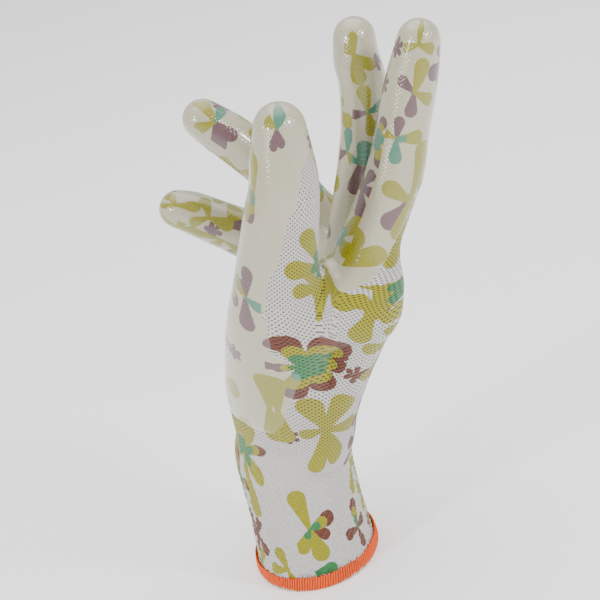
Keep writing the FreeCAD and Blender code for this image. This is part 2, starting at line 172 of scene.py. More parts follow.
# Flowers: sheet, branch, place across and along, and petals as direction, length and kind. The
# branch "base" is the hand with the thumb; a direction of 0 points to the tips, 90 off the fold.
PLACED_FLOWERS = (
    ("back", "base", 25.3, 140.5, ((-27, 21, "hearted"), (-75, 18, "hearted"), (-154, 12, "hearted"),
     (60, 10, "hearted"))),
    ("back", "index", -3.0, 146.0, ((62, 17, "yellow"), (20, 14, "yellow"))),
    ("back", "hand", 4.0, 137.0, ((110, 12, "yellow"),)),
    ("back", "base", 8.5, 105.4, ((35, 14, "layered"), (90, 9, "layered"), (144, 12, "layered"),
     (-172, 14, "layered"), (-15, 15, "layered"), (-95, 8, "layered"))),
    ("back", "base", 15.0, 78.1, ((-22, 15, "yellow"), (22, 18, "yellow"), (79, 16, "yellow"),
     (-112, 9, "yellow"), (-176, 20, "yellow"), (152, 17, "yellow"))),
    ("back", "base", 21.2, 133.5, ((-76, 11, "yellow"), (-22, 12, "yellow"), (-171, 15, "yellow"),
     (120, 8, "yellow"))),
    ("back", "base", 26.5, 138.6, ((-150, 8, "layered"), (-60, 8, "brown"), (10, 9, "layered"),
     (100, 9, "brown"))),
    ("back", "index", 17.0, 160.0, ((150, 12, "yellow"), (-170, 13, "yellow"))),
    ("palm", "base", 15.1, 57.3, ((-6, 19, "yellow"), (-127, 10, "hearted"), (171, 22, "yellow"),
     (90, 11, "layered"), (40, 15, "layered"), (-60, 10, "layered"))),
    ("both", "base", 1.5, 85.0, ((0, 15, "yellow"), (180, 14, "yellow"))),
    ("back", "base", 6.8, 30.3, ((-9, 18, "yellow"), (73, 12, "layered"), (-145, 11, "hearted"),
     (168, 14, "yellow"), (120, 9, "brown"))),
    ("palm", "base", 6.4, 14.7, ((20, 10, "yellow"), (90, 9, "yellow"), (-160, 9, "yellow"))),
    ("palm", "base", 26.0, 12.0, ((-30, 10, "yellow"), (60, 10, "hearted"), (160, 8, "yellow"))),
    ("back", "base", 4.9, 13.0, ((90, 9, "green"), (150, 8, "green"))),
    ("back", "base", 30.5, 21.7, ((8, 12, "layered"), (80, 9, "brown"), (-90, 9, "brown"),
     (170, 9, "brown"))),
    ("back", "base", 40.0, 46.0, ((-160, 13, "yellow"), (20, 10, "yellow"), (100, 9, "yellow"))),
    ("back", "base", 30.0, 110.0, ((-10, 9, "yellow"), (110, 10, "yellow"), (-150, 11, "yellow"))),
    ("back", "base", 14.2, 108.7, SPRIG),
    ("back", "base", 21.4, 104.1, SPRIG),
    ("back", "base", 3.0, 74.2, SPRIG),
    ("back", "little", 67.8, 167.6, SPRIG),
    ("back", "thumb", 29.4, 185.7, SPRIG),
    ("palm", "base", 20.0, 104.0, SPRIG),
    ("palm", "base", 6.0, 131.0, ((0, 11, "brown"), (60, 9, "yellow"), (180, 12, "brown"),
     (-110, 7, "green"))),
    ("back", "thumb", 9.0, 193.0, ((-10, 8, "green"), (45, 9, "green"), (160, 7, "brown"),
     (200, 8, "brown"), (-70, 8, "yellow"), (5, 11, "yellow"))),
    ("palm", "thumb", 5.0, 170.0, ((0, 14, "yellow"), (170, 12, "layered"), (90, 8, "layered"))),
    ("back", "ring", 59.1, 203.0, ((32, 11, "yellow"), (-172, 10, "brown"), (90, 8, "green"),
     (-130, 12, "brown"), (-60, 9, "yellow"))),
    ("palm", "ring", 57.0, 185.0, ((0, 9, "yellow"), (110, 9, "brown"), (-140, 10, "yellow"))),
    ("back", "little", 72.9, 184.0, ((-20, 8, "yellow"), (60, 8, "yellow"), (170, 9, "yellow"))),
    ("back", "little", 72.0, 171.0, ((-40, 8, "yellow"), (180, 10, "yellow"), (60, 9, "yellow"))),
    ("back", "little", 72.6, 154.0, ((10, 9, "brown"), (-90, 8, "yellow"), (150, 9, "brown"))),
    ("back", "index", 6.5, 228.0, ((0, 8, "yellow"), (100, 8, "yellow"), (-110, 7, "yellow"))),
    ("back", "index", 8.0, 212.0, ((10, 12, "yellow"), (-60, 8, "brown"), (180, 9, "brown"),
     (110, 9, "yellow"))),
    ("back", "index", 4.6, 195.0, ((0, 8, "brown"), (80, 10, "hearted"), (175, 9, "green"),
     (-80, 6, "yellow"))),
    ("back", "index", 14.5, 174.0, ((5, 21, "yellow"), (-70, 12, "yellow"), (-150, 13, "brown"),
     (178, 15, "yellow"), (110, 9, "yellow"))),
    ("back", "middle", 37.0, 217.0, ((0, 8, "yellow"), (-60, 7, "yellow"), (130, 10, "yellow"),
     (180, 11, "yellow"))),
    ("back", "middle", 39.0, 196.0, ((-10, 10, "yellow"), (70, 9, "green"), (170, 9, "yellow"),
     (-100, 7, "brown"))),
    ("back", "middle", 36.0, 177.0, ((10, 9, "green"), (-60, 7, "green"), (180, 12, "brown"),
     (90, 9, "yellow"))),
    ("palm", "middle", 35.0, 181.0, ((0, 9, "green"), (120, 9, "brown"), (-140, 8, "yellow"))),
)
# Sheets filled at random: sheet, branch, across from and to, along from and to.
FILLED_SHEETS = (
    ("back", "hand", 56, 96, 12, 150), ("back", "hand", 36, 50, 64, 150), ("palm", "hand", 26, 96, 30, 150),
    ("palm", "hand", 44, 96, 12, 26),
    ("palm", "thumb", 16, 40, 100, 200), ("palm", "index", 4, 34, 140, 235),
    ("back", "index", 26, 36, 140, 235),
    ("palm", "middle", 46, 62, 130, 225), ("back", "middle", 50, 62, 130, 225),
    ("palm", "ring", 66, 80, 120, 220), ("back", "ring", 68, 80, 120, 220),
    ("palm", "little", 68, 94, 115, 200), ("back", "little", 84, 94, 115, 200),
)


def joint_place(name):
    return Vector(JOINTS[name]["pos_m"])


WRIST = joint_place("wrist_bend")


def hand_point(across, rise, depth):
    """A point of the hand, from millimetres across to the little finger, up, and to its back."""
    lean = Matrix.Rotation(math.radians(WRIST_LEAN), 3, "Y")
    return WRIST + lean @ Vector((depth, across, rise)) * MM


def smooth_rows(rows, steps):
    """Rows of numbers joined by a smooth curve through each of them, with steps between two."""
    rows = np.array(rows, float)
    padded = np.vstack([2 * rows[0] - rows[1], rows, 2 * rows[-1] - rows[-2]])
    result = []
    for before, start, end, after in zip(padded, padded[1:], padded[2:], padded[3:]):
        for t in np.arange(steps) / steps:
            result.append(0.5 * (
                2 * start + (end - before) * t
                + (2 * before - 5 * start + 4 * end - after) * t ** 2
                + (3 * (start - end) + after - before) * t ** 3
            ))
    result.append(rows[-1])
    return np.array(result)


def tip_point(digit):
    """The far end of a digit's tip zone, which is the tip of its coating."""
    coating = frame["nodes"][f"{digit}_tip_coating"]
    last = joint_place(f"{digit}_{DIGITS[digit]['joints'][-1]}_bend")
    return max((corner.co for corner in coating.data.vertices), key=lambda co: (co - last).length).copy()


def digit_line(digit):
    """A digit's centreline as rows of x, y, z and radius, from its knuckle to inside its tip."""
    sizes = DIGITS[digit]
    path = [hand_point(*place) for place in sizes["path"]]
    path += [joint_place(f"{digit}_{name}_bend") for name in sizes["joints"]]
    radii = [radius * MM for radius in sizes["radii"]]
    last = path[-1]
    reach = (tip_point(digit) - last) * sizes["reach"]
    path.append(last + reach * (1 - radii[-1] / reach.length))
    nodes = path[:len(sizes["path"]) + 1]
    for start, end in zip(path[len(sizes["path"]):], path[len(sizes["path"]) + 1:]):
        nodes += [start.lerp(end, 0.5), end.copy()]
    for number, (back, up) in sizes["shifts"].items():
        nodes[number] += Vector((back, 0, up)) * MM
    return smooth_rows([(*node, radius) for node, radius in zip(nodes, radii, strict=True)], 10)


def body_rings():
    """The cuff, wrist and palm as rows: x, z, lean, tilt, half depth and half width."""
    rows = [(0.0, height * MM, 0.0, 0.0, deep * MM, wide * MM) for height, deep, wide in CUFF_RINGS]
    for rise, lean, depth, deep, wide, tilt in HAND_RINGS:
        centre = hand_point(0.0, rise, depth)
        rows.append((centre.x, centre.z, lean, tilt, deep * MM, wide * MM))
    return smooth_rows(rows, RING_STEPS)


class Line:
    """A centreline that measures points: length along it, angle round it and distance from it."""

    def __init__(self, places, radii, axis, flatness=1.0):
        self.places = np.array(places, float)
        self.radii = np.array(radii, float)
        self.flatness = np.broadcast_to(flatness, len(self.radii))
        self.tangents = np.gradient(self.places, axis=0)
        self.tangents /= np.linalg.norm(self.tangents, axis=1)[:, None]
        side = np.array(axis, float)
        side = side[None, :] - (self.tangents @ side)[:, None] * self.tangents
        self.sides = side / np.linalg.norm(side, axis=1)[:, None]
        self.palms = np.cross(self.sides, self.tangents)
        steps = np.linalg.norm(np.diff(self.places, axis=0), axis=1)
        self.lengths = np.concatenate([[0.0], np.cumsum(steps)])

    def measure(self, points):
        """Length along, angle from the thumb's side towards the palm, distance out of the skin."""
        nearest = np.zeros(len(points), int)
        square = (self.places ** 2).sum(axis=1)
        for start in range(0, len(points), 40000):
            part = points[start:start + 40000]
            nearest[start:start + 40000] = np.argmin(square[None, :] - 2 * part @ self.places.T, axis=1)
        offset = points - self.places[nearest]
        ahead = (offset * self.tangents[nearest]).sum(axis=1)
        flat = offset - ahead[:, None] * self.tangents[nearest]
        sideways = (flat * self.sides[nearest]).sum(axis=1)
        palmward = (flat * self.palms[nearest]).sum(axis=1)
        length = self.lengths[nearest] + ahead
        out = np.hypot(palmward, sideways) + 1e-9
        power = RING_SHAPE
        deep = np.abs(palmward / self.flatness[nearest]) ** power
        oval = (deep + np.abs(sideways) ** power) ** (1 / power) + 1e-9
        rim = self.radii[nearest] * out / oval
        slope = np.gradient(self.radii, self.lengths)
        round_gap = np.linalg.norm(offset, axis=1) - self.radii[nearest] - slope[nearest] * ahead
        past = np.maximum(np.abs(ahead) - 0.5 * MM, 0)
        oval_gap = np.where(past > 0, np.hypot(np.maximum(out - rim, 0), past), out - rim)
        gap = np.where(self.flatness[nearest] == 1.0, round_gap, oval_gap)
        return length, np.arctan2(palmward, sideways), gap

    def length_at(self, place):
        return float(self.measure(np.array([place], float))[0][0])

    def place_at(self, length):
        return [float(np.interp(length, self.lengths, self.places[:, axis])) for axis in range(3)]

    def direction_at(self, length):
        return [float(np.interp(length, self.lengths, self.tangents[:, axis])) for axis in range(3)]


def digit_axis(digit):
    """The direction of a digit's bends, turned to point to the thumb's side."""
    axis = Vector(JOINTS[f"{digit}_root_bend"]["axis"])
    return axis if axis.y < 0 else -axis


LINES = {}
for digit in DIGITS:
    rows = digit_line(digit)
    LINES[digit] = Line(rows[:, :3], rows[:, 3], digit_axis(digit))
rows = smooth_rows([(*hand_point(*place), radius * MM) for *place, radius in WEB], 10)
WEB_LINE = Line(rows[:, :3], rows[:, 3], (0, -1, 0))
RINGS = body_rings()
BODY = Line([(row[0], 0.0, row[1]) for row in RINGS], RINGS[:, 5], (0, -1, 0), RINGS[:, 4] / RINGS[:, 5])

# ---------------------------------------------------------------- the skin


def ring_corners(bm, row, capped):
    """One superellipse section of the body, from its row in RINGS."""
    x, z, lean, tilt, deep, wide = row
    turn = Matrix.Rotation(math.radians(lean), 4, "Y") @ Matrix.Rotation(math.radians(-tilt), 4, "X")
    corners = bmesh.ops.create_circle(bm, cap_ends=capped, segments=72, radius=1.0)["verts"]
    power = 2.0 / RING_SHAPE
    for corner in corners:
        across, depth = corner.co.y, corner.co.x
        corner.co.x = math.copysign(abs(depth) ** power, depth) * deep
        corner.co.y = math.copysign(abs(across) ** power, across) * wide
    bmesh.ops.transform(bm, matrix=Matrix.Translation((x, 0, z)) @ turn, verts=corners)
    return corners


def ring_edges(corners):
    members = set(corners)
    edges = {edge for corner in corners for edge in corner.link_edges}
    return [edge for edge in edges if set(edge.verts) <= members]


def raise_solid():
    """The glove as overlapping round solids: the body's loft and a chain of balls for each digit."""
    bm = bmesh.new()
    rows = RINGS[::LOFT_STEP]
    before = ring_edges(ring_corners(bm, rows[0], True))
    for number, row in enumerate(rows[1:], start=1):
        after = ring_edges(ring_corners(bm, row, number == len(rows) - 1))
        bmesh.ops.bridge_loops(bm, edges=before + after)
        before = after
    bmesh.ops.recalc_face_normals(bm, faces=bm.faces)
    ball = bpy.data.meshes.new("ball")
    round_bm = bmesh.new()
    bmesh.ops.create_uvsphere(round_bm, u_segments=24, v_segments=14, radius=1.0)
    round_bm.to_mesh(ball)
    for line in (*LINES.values(), WEB_LINE):
        for place, radius in zip(line.places, line.radii):
            copy = ball.copy()
            copy.transform(Matrix.Translation(Vector(place)) @ Matrix.Scale(radius, 4))
            bm.from_mesh(copy)
            bpy.data.meshes.remove(copy)
    return bm


def evaluated(mesh, modifiers):
    """A mesh with modifiers applied, each given as its kind and settings."""
    maker = bpy.data.objects.new("maker", mesh)
    bpy.context.scene.collection.objects.link(maker)
    for kind, settings in modifiers:
        modifier = maker.modifiers.new(kind.lower(), kind)
        for key, value in settings.items():
            setattr(modifier, key, value)
    result = bpy.data.meshes.new_from_object(maker.evaluated_get(bpy.context.evaluated_depsgraph_get()))
    bpy.data.objects.remove(maker)
    return result


def places_of(mesh):
    flat = np.zeros(len(mesh.vertices) * 3, np.float32)
    mesh.vertices.foreach_get("co", flat)
    return flat.reshape(-1, 3).astype(float)


def normals_of(mesh):
    flat = np.zeros(len(mesh.vertices) * 3, np.float32)
    mesh.vertex_normals.foreach_get("vector", flat)
    return flat.reshape(-1, 3).astype(float)


def set_places(mesh, places):
    mesh.vertices.foreach_set("co", places.astype(np.float32).ravel())
    mesh.update()


def eased(values, low, high):
    """0 below low, 1 above high, smooth between."""
    t = np.clip((values - low) / (high - low), 0, 1)
    return t * t * (3 - 2 * t)


def joined_gap(points):
    """How far points stand out of the glove's skin, with soft fillets where its parts meet."""
    gaps = [line.measure(points)[2] for line in (*LINES.values(), WEB_LINE, BODY)]
    fillets = np.array([FILLET * MM] * len(gaps))[:, None]
    soft = np.exp(-np.clip(np.array(gaps) / fillets, -20, 20)).sum(axis=0)
    return -FILLET * MM * np.log(soft)


def smooth_skin():
    """The solid as one even skin, filleted where the digits meet, and open at the mouth."""
    solid = bpy.data.meshes.new("solid")
    raise_solid().to_mesh(solid)
    skin = evaluated(solid, [("REMESH", {"mode": "VOXEL", "voxel_size": VOXEL * MM})])
    for _ in range(3):
        places = places_of(skin)
        reach = np.clip(-joined_gap(places), -2 * MM, 2 * MM)
        set_places(skin, places + normals_of(skin) * reach[:, None])
        skin = evaluated(skin, [("SMOOTH", {"factor": 0.5, "iterations": 8})])
    bm = bmesh.new()
    bm.from_mesh(skin)
    everything = bm.verts[:] + bm.edges[:] + bm.faces[:]
    bmesh.ops.bisect_plane(bm, geom=everything, plane_co=(0, 0, 0), plane_no=(0, 0, -1), clear_outer=True)
    keep_largest(bm)
    bm.to_mesh(skin)
    return skin


def keep_largest(bm):
    """Delete all but the largest joined part, which drops bubbles closed in between the branches."""
    left = set(bm.verts)
    parts = []
    while left:
        part = set()
        front = [left.pop()]
        while front:
            corner = front.pop()
            part.add(corner)
            for edge in corner.link_edges:
                other = edge.other_vert(corner)
                if other in left:
                    left.remove(other)
                    front.append(other)
        parts.append(part)
    parts.sort(key=len)
    for part in parts[:-1]:
        bmesh.ops.delete(bm, geom=list(part), context="VERTS")


# ---------------------------------------------------------------- lengths along and around the fabric


def wrapped(angle):
    """An angle brought between half a turn either way."""
    return (angle + np.pi) % (2 * np.pi) - np.pi


def stations(digit):
    """Lengths along a digit's line at its joints and its end."""
    line = LINES[digit]
    places = [joint_place(f"{digit}_{name}_bend") for name in DIGITS[digit]["joints"]]
    return [line.length_at(place) for place in places] + [line.lengths[-1]]


STATIONS = {digit: stations(digit) for digit in DIGITS}


def coat_reach(digit, length, angle):
    """How far inside the coating's edge a point of a digit lies, in metres."""
    joints = STATIONS[digit]
    if digit == "thumb":
        middle = math.radians(-104)
        marks = (joints[0] - 30 * MM, joints[0] - 8 * MM, joints[0], joints[1] - 6 * MM,
                 joints[1] + 9 * MM, joints[1] + 14 * MM)
        widths = (86, 76, 62, 58, 24, -12)
    elif digit == "index":
        middle = math.radians(-90)
        marks = (0.0, joints[0], joints[1], joints[2])
        widths = (78, 58, 6, -20)
    else:
        middle = math.radians(-90)
        marks = (0.0, joints[0], joints[1], joints[2])
        widths = (80, 26, 0, -20)
    edge = np.interp(length, marks, widths)
    return (np.abs(np.degrees(wrapped(angle - middle))) - edge) * math.radians(1) * 10 * MM


def fabric_of(points):
    """Where points lie on the glove's fabric, as arrays by name.

    across is the length round from the fold on the thumb's side and along the length from the
    mouth, both in millimetres; side is above 0 on the palm's sheet; reach is how far inside the
    coating's edge a point lies; share holds how much each digit rules there.
    """
    length, angle, _ = BODY.measure(points)
    turn = wrapped(angle - np.radians(np.interp(length / MM, BODY_FOLD[0], BODY_FOLD[1])))
    centre = np.array([np.interp(length, BODY.lengths, BODY.places[:, axis]) for axis in range(3)]).T
    across = np.abs(turn) * np.maximum(np.linalg.norm(points - centre, axis=1) / MM, BODY_ROUND)
    along = length / MM
    side = np.sin(turn)
    palm = np.minimum((np.abs(np.degrees(wrapped(angle + np.pi / 2))) - PALM_EDGE) * 0.5, along - PALM_START)
    reach = palm * MM
    measured = {digit: line.measure(points) for digit, line in LINES.items()}
    closeness = {digit: np.exp(-np.clip(gap / (1.5 * MM), -8, 30)) for digit, (_, _, gap) in measured.items()}
    total = sum(closeness.values()) + 1e-30
    shares = {}
    for digit, (digit_length, digit_angle, gap) in measured.items():
        sizes = DIGITS[digit]
        root = STATIONS[digit][0]
        start, full = (root - 52 * MM, root - 12 * MM) if digit == "thumb" else (2 * MM, root + 2 * MM)
        near = 1 - eased(gap, 3 * MM, 9 * MM)
        share = closeness[digit] / total * eased(digit_length, start, full) * near
        fold = sizes["fold"]
        if digit == "thumb":
            fold = np.interp(digit_length / MM, *THUMB_FOLD)
        round_turn = wrapped(digit_angle - np.radians(fold))
        first = max(root - 30 * MM, 0.0) if digit == "thumb" else 0.0
        base = BODY.length_at(LINES[digit].place_at(first)) - first
        across += share * (np.abs(round_turn) * DIGIT_ROUND[digit] + sizes["across"] - across)
        along += share * ((digit_length + base) / MM - along)
        side += share * (np.sin(round_turn) - side)
        reach += share * (coat_reach(digit, digit_length, digit_angle) - reach)
        shares[digit] = share
    return {"across": across, "along": along, "side": side, "reach": reach, "share": shares}


# ---------------------------------------------------------------- the flower print


def petal(across, along, length, near, far):
    """Distance outside a teardrop petal that starts at the origin and runs up, in millimetres."""
    across = np.abs(across)
    slope = (near - far) / length
    run = math.sqrt(1 - slope * slope)
    along_edge = run * along - slope * across
    sideways = slope * along + run * across
    result = sideways - near
    result = np.where(along_edge < 0, np.hypot(across, along) - near, result)
    return np.where(along_edge > run * length, np.hypot(across, along - length) - far, result)


def in_reach(fabric, branch):
    """Which points a flower on a branch may colour: not the other digits that share its lengths."""
    mine = ("thumb",) if branch == "base" else (branch,)
    others = [share for digit, share in fabric["share"].items() if digit not in mine]
    return sum(others) < 0.5


def print_inks(fabric):
    """Distances outside each ink, for the palm's sheet and the back's, as two arrays of three."""
    inks = {sheet: np.full((3, len(fabric["across"])), 9.0) for sheet in ("palm", "back")}
    for sheet, branch, across, along, petals in flowers():
        size = max(length for _, length, _ in petals) + 2
        near = np.nonzero(in_reach(fabric, branch)
                          & (np.abs(fabric["across"] - across) < size)
                          & (np.abs(fabric["along"] - along) < size))[0]
        dx = fabric["across"][near] - across
        dy = fabric["along"][near] - along
        for direction, length, kind in petals:
            angle = math.radians(direction)
            u = dx * math.cos(angle) - dy * math.sin(angle)
            v = dx * math.sin(angle) + dy * math.cos(angle)
            for ink, share in LAYERS[kind]:
                far = min(max(0.27 * length, 1.0), 3.9) * share ** 0.7
                distance = petal(u, v, length * share - far, far * 0.22, far)
                for inked in ("palm", "back") if sheet == "both" else (sheet,):
                    row = inks[inked][INKS.index(ink)]
                    row[near] = np.minimum(row[near], distance)
    return inks


def flowers():
    """Every flower of the print: sheet, branch, across, along and petals."""
    yield from PLACED_FLOWERS
    random = np.random.default_rng(7)
    kinds = ("yellow", "hearted", "layered", "yellow", "brown", "layered")
    for sheet, branch, low, high, start, end in FILLED_SHEETS:
        for along in np.arange(start, end, 17.0):
            for across in np.arange(low, high, 19.0):
                shift = random.uniform(-4, 4, 2)
                turn = random.uniform(0, 360)
                kind = kinds[random.integers(len(kinds))]
                petals = SPRIG
                if random.random() > 0.25:
                    petals = [(turn + 65 * step, random.uniform(8, 13), kind) for step in range(5)]
                yield sheet, branch, across + shift[0], along + shift[1], petals


# ---------------------------------------------------------------- relief


def unevenness(points, scales):
    """Smooth noise from -1 to 1 at each point, with how many waves to a metre along each axis."""
    return np.array([noise.noise(Vector(place)) for place in points * scales])


def relief_of(points, fabric):
    """How far the fabric stands out of the smooth skin: its pressed fold, soft creases, cuff knit."""
    drape = unevenness(points, (55, 55, 30))
    cell = np.sin(fabric["across"] * 2 * math.pi / WAFFLE[0])
    cell *= np.sin(fabric["along"] * 2 * math.pi / WAFFLE[1])
    height = PRESSED_HEIGHT * np.exp(-(fabric["across"] / PRESSED_WIDTH) ** 2)
    height += DRAPE_HEIGHT * drape
    height += WAFFLE_HEIGHT * cell * (1 - eased(fabric["along"], *WAFFLE_FADES))
    return height * MM


# ---------------------------------------------------------------- zones and pieces


class Zone:
    """A stretch of the glove between two rings, the bodies it moves with, and where it bends."""

    def __init__(self, name, bodies, start=None, end=None):
        self.name = name
        self.bodies = bodies
        self.start = start
        self.end = end


def list_zones():
    """The glove's zones in order: cuff, wrist, hand, and those of each digit from its root."""
    zones = [Zone("cuff", ["cuff"])]
    zones.append(Zone("wrist", ["cuff", "hand"], Vector((0, 0, 0.038)), hand_point(0, 12, 2)))
    zones.append(Zone("hand", ["hand"]))
    rings = []
    for digit, line in LINES.items():
        joints = STATIONS[digit][:-1]
        bones = ["base", "tip"] if digit == "thumb" else ["proximal", "middle", "tip"]
        bodies = ["hand"] + [f"{digit}_{bone}" for bone in bones]
        cuts = [joints[0] - ROOT_RING * MM] + [(a + b) / 2 for a, b in zip(joints, joints[1:])]
        for number, joint in enumerate(joints):
            before = 4 * MM if number == 0 else 6.5 * MM
            after = 7.5 * MM if digit == "little" else 8.5 * MM
            zone = Zone(f"{digit}_{JOINT_NAMES[digit][number]}", bodies[number:number + 2])
            zone.start = Vector(line.place_at(joint - before))
            zone.end = Vector(line.place_at(joint + after))
            zones.append(zone)
        rings.append((digit, cuts))
    return zones, rings


def zone_numbers(points, rings):
    """The number of the zone that each point belongs to."""
    lean = math.radians(WRIST_LEAN)
    rise = (points[:, 2] - WRIST.z) * math.cos(lean) + (points[:, 0] - WRIST.x) * math.sin(lean)
    numbers = np.where(points[:, 2] < CUFF_TOP * MM, 0, np.where(rise < WRIST_TOP * MM, 1, 2))
    measured = [LINES[digit].measure(points) for digit, _ in rings]
    nearest = np.argmin([gap for _, _, gap in measured], axis=0)
    base = 3
    for order, (digit, cuts) in enumerate(rings):
        length, _, gap = measured[order]
        passed = sum((length > cut).astype(int) for cut in cuts)
        mine = (nearest == order) & (gap < 5 * MM) & (passed > 0)
        numbers = np.where(mine, base + passed - 1, numbers)
        base += len(cuts)
    return numbers


def cut_rings(bm, rings):
    """Cut the mesh along every ring where one zone meets the next, leaving it joined."""
    def cut(chosen, place, direction):
        edges = {edge for face in chosen for edge in face.edges}
        corners = {corner for face in chosen for corner in face.verts}
        geometry = [*chosen, *edges, *corners]
        bmesh.ops.bisect_plane(bm, geom=geometry, dist=1e-7, plane_co=place, plane_no=direction)

    bm.faces.ensure_lookup_table()
    centres = np.array([face.calc_center_median() for face in bm.faces])
    measured = {digit: line.measure(centres) for digit, line in LINES.items()}
    nearest = np.argmin([gap for _, _, gap in measured.values()], axis=0)
    jobs = []
    for digit, cuts in rings:
        line = LINES[digit]
        length, _, gap = measured[digit]
        mine = (nearest == list(LINES).index(digit)) & (gap < 6 * MM)
        for ring in cuts:
            chosen = np.nonzero(mine & (np.abs(length - ring) < 2.5 * MM))[0]
            faces = [bm.faces[number] for number in chosen]
            jobs.append((faces, line.place_at(ring), line.direction_at(ring)))
    hand_up = Matrix.Rotation(math.radians(WRIST_LEAN), 3, "Y") @ Vector((0, 0, 1))
    for place, direction in ((Vector((0, 0, CUFF_TOP * MM)), Vector((0, 0, 1))),
                             (WRIST + hand_up * WRIST_TOP * MM, hand_up)):
        off = np.abs((centres - np.array(place)) @ np.array(direction))
        jobs.append(([bm.faces[number] for number in np.nonzero(off < 4 * MM)[0]], place, direction))
    for job in jobs:
        cut(*job)


def zone_picker():
    """A modifier's nodes that keep only one zone's faces. Returns the group and the number's socket."""
    group = bpy.data.node_groups.new("zone_picker", "GeometryNodeTree")
    group.interface.new_socket("Geometry", in_out="INPUT", socket_type="NodeSocketGeometry")
    group.interface.new_socket("Geometry", in_out="OUTPUT", socket_type="NodeSocketGeometry")
    whole = add_node(group, "NodeGroupInput").outputs[0]
    zone = add_node(group, "GeometryNodeInputNamedAttribute", {"data_type": "INT"}, Name="zone").outputs[0]
    match = add_node(group, "FunctionNodeCompare", {"data_type": "INT", "operation": "EQUAL"}, i2=zone)
    kept = add_node(group, "GeometryNodeSeparateGeometry", {"domain": "FACE"},
                    i0=whole, i1=match.outputs[0])
    add_node(group, "NodeGroupOutput", None, i0=kept.outputs[0])
    return group, match.inputs[3]


def piece_from(mesh, name, material, zone):
    """One piece made of a zone's faces, riding on its body if it has one; a piece that spans two bodies is
    left in place, unattached.
    """
    flat = np.zeros(len(mesh.vertices) * 3, np.float32)
    mesh.attributes["whole_normal"].data.foreach_get("vector", flat)
    mesh.polygons.foreach_set("use_smooth", [True] * len(mesh.polygons))
    mesh.normals_split_custom_set_from_vertices(flat.reshape(-1, 3).tolist())
    mesh.attributes.remove(mesh.attributes["whole_normal"])
    mesh.attributes.remove(mesh.attributes["zone"])
    mesh.materials.clear()
    mesh.materials.append(material)
    piece = bpy.data.objects.new(name, mesh)
    bpy.context.scene.collection.objects.link(piece)
    if len(zone.bodies) == 1:
        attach(piece, zone.bodies[0])
    else:
        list(zone.bodies)
        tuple(zone.start)
        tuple(zone.end)
        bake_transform(piece)
    return piece


def dress(mesh):
    """Give a mesh the fabric lengths and inks that its material reads."""
    fabric = fabric_of(places_of(mesh))
    inks = print_inks(fabric)
    for name in ("across", "along", "side"):
        attribute = mesh.attributes.new(name, "FLOAT", "POINT")
        attribute.data.foreach_set("value", fabric[name].astype(np.float32))
    for sheet, rows in inks.items():
        attribute = mesh.attributes.new(f"ink_{sheet}", "FLOAT_VECTOR", "POINT")
        attribute.data.foreach_set("vector", rows.T.astype(np.float32).ravel())


def mark_normals(mesh):
    """Keep the whole glove's normals, so that pieces cut from it still shade as one surface."""
    attribute = mesh.attributes.new("whole_normal", "FLOAT_VECTOR", "POINT")
    attribute.data.foreach_set("vector", normals_of(mesh).astype(np.float32).ravel())


def split(mesh, prefix, material, zones, rings):
    """Cut a mesh into its zones' pieces. Returns them by zone name."""
    dress(mesh)
    bm = bmesh.new()
    bm.from_mesh(mesh)
    cut_rings(bm, rings)
    layer = bm.faces.layers.int.new("zone")
    numbers = zone_numbers(np.array([face.calc_center_median() for face in bm.faces]), rings)
    for face, number in zip(bm.faces, numbers.tolist()):
        face[layer] = number
    bm.to_mesh(mesh)
    bm.free()
    group, wanted = zone_picker()
    pieces = {}
    for number, zone in enumerate(zones):
        wanted.default_value = number
        part = evaluated(mesh, [("NODES", {"node_group": group})])
        if len(part.polygons):
            pieces[zone.name] = piece_from(part, f"{prefix}_{zone.name}", material, zone)
    return pieces


def finer_cuff(mesh):
    """Split the cuff's faces small enough to carry its knitted cells as real relief."""
    bm = bmesh.new()
    bm.from_mesh(mesh)
    top = CUFF_FINE * MM
    edges = [edge for edge in bm.edges if max(corner.co.z for corner in edge.verts) < top]
    bmesh.ops.subdivide_edges(bm, edges=edges, cuts=1, use_grid_fill=True)
    bm.to_mesh(mesh)
    bm.free()


def make_liner(skin, material, zones, rings):
    """The knitted liner with its wall: the relief, then an inner face and a rim at the mouth."""
    finer_cuff(skin)
    places = places_of(skin)
    set_places(skin, places + normals_of(skin) * relief_of(places, fabric_of(places))[:, None])
    inner_places = places_of(skin) - normals_of(skin) * KNIT_WALL * MM
    bm = bmesh.new()
    bm.from_mesh(skin)
    outer = bm.verts[:]
    copies = bmesh.ops.duplicate(bm, geom=bm.verts[:] + bm.edges[:] + bm.faces[:])
    for corner, place in zip(outer, inner_places.tolist()):
        copies["vert_map"][corner].co = place
    inner = [item for item in copies["geom"] if isinstance(item, bmesh.types.BMFace)]
    bmesh.ops.reverse_faces(bm, faces=inner)
    bmesh.ops.bridge_loops(bm, edges=[edge for edge in bm.edges if edge.is_boundary])
    wall = bpy.data.meshes.new("liner")
    bm.to_mesh(wall)
    bm.free()
    mark_normals(wall)
    return split(wall, "liner", material, zones, rings)


def make_coating(skin, material, zones, rings):
    """The coating: a skin over the liner's outer face that thins and dives into it at its edge."""
    places = places_of(skin)
    reach = fabric_of(places)["reach"] / MM
    reach += unevenness(places, (160, 160, 160)) * COAT_RAGGED
    height = COAT_WALL * eased(reach, -0.2, 0.9) - COAT_DIVE * (1 - eased(reach, -1.6, -0.2))
    coat = skin.copy()
    set_places(coat, places + normals_of(skin) * height[:, None] * MM)
    mark_normals(coat)
    bm = bmesh.new()
    bm.from_mesh(coat)
    bm.verts.ensure_lookup_table()
    bare = [face for face in bm.faces if max(reach[corner.index] for corner in face.verts) < -1.0]
    bmesh.ops.delete(bm, geom=bare, context="FACES")
    bm.to_mesh(coat)
    bm.free()
    return split(coat, "coating", material, zones, rings)


# ---------------------------------------------------------------- materials


